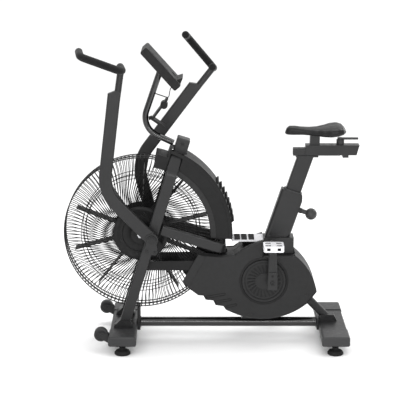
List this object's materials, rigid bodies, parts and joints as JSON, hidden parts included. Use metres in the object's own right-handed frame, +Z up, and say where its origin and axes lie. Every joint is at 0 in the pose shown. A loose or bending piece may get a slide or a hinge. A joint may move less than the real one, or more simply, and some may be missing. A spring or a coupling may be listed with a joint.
{
  "type": "air bike",
  "caption": "Fan-braked exercise bike with swinging arms, caged fan, crank and pedals, sliding saddle, display and levelling feet.",
  "frame": {"origin": "centre of the footprint, on the floor under the levelling feet", "axes": "+X from the fan to the saddle, +Y to the rider's right seen from the saddle facing the fan, +Z up"},
  "size_m": [1.296, 0.526, 1.366],
  "materials": {
    "frame_paint": "satin black powder coat",
    "gloss_tube": "gloss black paint",
    "guard_wire": "satin black coated wire",
    "fan_paint": "black paint",
    "cap_plastic": "moulded black plastic",
    "cover_plastic": "textured charcoal plastic",
    "shroud_plastic": "textured black plastic",
    "screen": "glossy dark window",
    "grip_foam": "black foam",
    "saddle_skin": "black synthetic leather",
    "steel": "ground steel",
    "black_steel": "black oxide",
    "pulley_metal": "machined",
    "pedal_metal": "satin cast aluminium",
    "rubber": "black rubber",
    "wheel_rubber": "grey-black rubber",
    "step_grey": "light grey plastic"
  },
  "bodies": {
    "frame": {"base_brackets": "frame_paint", "bearings": "steel", "bolts": "black_steel", "bottle_holder": "shroud_plastic", "console_body": "shroud_plastic", "console_cable": "rubber", "console_screen": "screen", "console_tube": "gloss_tube", "drive_belt": "rubber", "fan_axle": "steel", "fan_shroud": "shroud_plastic", "floor_rail": "gloss_tube", "front_stabiliser": "frame_paint", "head_block": "frame_paint", "left_cage": "guard_wire", "left_chain_cover": "cover_plastic", "main_frame": "frame_paint", "masts": "frame_paint", "pivot_pins": "black_steel", "pivot_plates": "frame_paint", "rear_stabiliser": "frame_paint", "rear_strut": "frame_paint", "rear_tubes": "frame_paint", "right_cage": "guard_wire", "right_chain_cover": "cover_plastic", "seat_collar": "cap_plastic", "seat_tube": "frame_paint", "side_plates": "fan_paint", "stabiliser_caps": "cap_plastic", "step_pads": "rubber", "step_plate": "step_grey", "struts": "frame_paint", "vent_discs": "cover_plastic"},
    "fan": {"fan_hub": "fan_paint", "fan_blades": "fan_paint", "fan_pulley": "pulley_metal"},
    "crank": {"crank_axle": "steel", "left_crank": "frame_paint", "right_crank": "frame_paint", "drive_pulley": "pulley_metal", "pedal_spindles": "steel"},
    "left_pedal": {"left_pedal": "pedal_metal"},
    "right_pedal": {"right_pedal": "pedal_metal"},
    "left_arm": {"left_arm": "frame_paint", "left_grip": "grip_foam"},
    "right_arm": {"right_arm": "frame_paint", "right_grip": "grip_foam"},
    "left_wheel": {"left_wheel": "wheel_rubber"},
    "right_wheel": {"right_wheel": "wheel_rubber"},
    "seat_post": {"seat_post": "frame_paint", "slider_rail": "frame_paint"},
    "saddle": {"saddle_carriage": "frame_paint", "saddle": "saddle_skin"},
    "clamp_lever": {"clamp_lever": "cap_plastic"},
    "pop_pin": {"pop_pin": "cap_plastic"},
    "start_key": {"start_key": "rubber"},
    "foot_front_left": {"foot_front_left": "rubber"},
    "foot_front_right": {"foot_front_right": "rubber"},
    "foot_rear_left": {"foot_rear_left": "rubber"},
    "foot_rear_right": {"foot_rear_right": "rubber"}
  },
  "joints": [
    {"name": "fan_spin", "type": "hinge", "parent": "frame", "child": "fan", "pos_m": [-0.308, 0, 0.497], "axis": [0, 1, 0], "continuous": true},
    {"name": "crank_spin", "type": "hinge", "parent": "frame", "child": "crank", "pos_m": [0.271, 0, 0.292], "axis": [0, 1, 0], "continuous": true},
    {"name": "left_pedal_spin", "type": "hinge", "parent": "crank", "child": "left_pedal", "pos_m": [0.271, -0.17, 0.467], "axis": [0, 1, 0], "continuous": true},
    {"name": "right_pedal_spin", "type": "hinge", "parent": "crank", "child": "right_pedal", "pos_m": [0.271, 0.17, 0.117], "axis": [0, 1, 0], "continuous": true},
    {"name": "left_arm_swing", "type": "hinge", "parent": "frame", "child": "left_arm", "pos_m": [-0.256, -0.142, 0.494], "axis": [0, 1, 0], "range_deg": [0, 30]},
    {"name": "right_arm_swing", "type": "hinge", "parent": "frame", "child": "right_arm", "pos_m": [-0.256, 0.142, 0.494], "axis": [0, 1, 0], "range_deg": [-30, 0]},
    {"name": "left_wheel_spin", "type": "hinge", "parent": "frame", "child": "left_wheel", "pos_m": [-0.479, -0.2, 0.082], "axis": [0, 1, 0], "continuous": true},
    {"name": "right_wheel_spin", "type": "hinge", "parent": "frame", "child": "right_wheel", "pos_m": [-0.479, 0.2, 0.082], "axis": [0, 1, 0], "continuous": true},
    {"name": "seat_height", "type": "slide", "parent": "frame", "child": "seat_post", "axis": [0.3173, 0, 0.9483], "range_m": [-0.1, 0.05]},
    {"name": "saddle_slide", "type": "slide", "parent": "seat_post", "child": "saddle", "axis": [1, 0, 0], "range_m": [-0.045, 0.03]},
    {"name": "clamp_turn", "type": "hinge", "parent": "saddle", "child": "clamp_lever", "pos_m": [0.566, 0, 0.9], "axis": [0, 0, 1], "range_deg": [0, 90]},
    {"name": "pop_pin_pull", "type": "slide", "parent": "frame", "child": "pop_pin", "axis": [0.9483, 0, -0.3173], "range_m": [0, 0.012], "stiffness_N_per_m": 1200, "springref_m": -0.004},
    {"name": "start_key_press", "type": "slide", "parent": "frame", "child": "start_key", "axis": [-0.7431, 0, -0.6691], "range_m": [0, 0.0015], "stiffness_N_per_m": 500, "springref_m": -0.001},
    {"name": "foot_front_left_turn", "type": "hinge", "parent": "frame", "child": "foot_front_left", "pos_m": [-0.385, -0.228, 0.02], "axis": [0, 0, 1], "continuous": true},
    {"name": "foot_front_right_turn", "type": "hinge", "parent": "frame", "child": "foot_front_right", "pos_m": [-0.385, 0.228, 0.02], "axis": [0, 0, 1], "continuous": true},
    {"name": "foot_rear_left_turn", "type": "hinge", "parent": "frame", "child": "foot_rear_left", "pos_m": [0.543, -0.228, 0.02], "axis": [0, 0, 1], "continuous": true},
    {"name": "foot_rear_right_turn", "type": "hinge", "parent": "frame", "child": "foot_rear_right", "pos_m": [0.543, 0.228, 0.02], "axis": [0, 0, 1], "continuous": true}
  ],
  "couplings": [
    {"joint": "crank_spin", "follows": "fan_spin", "ratio": 0.3125},
    {"joint": "right_arm_swing", "follows": "left_arm_swing", "ratio": -1}
  ]
}
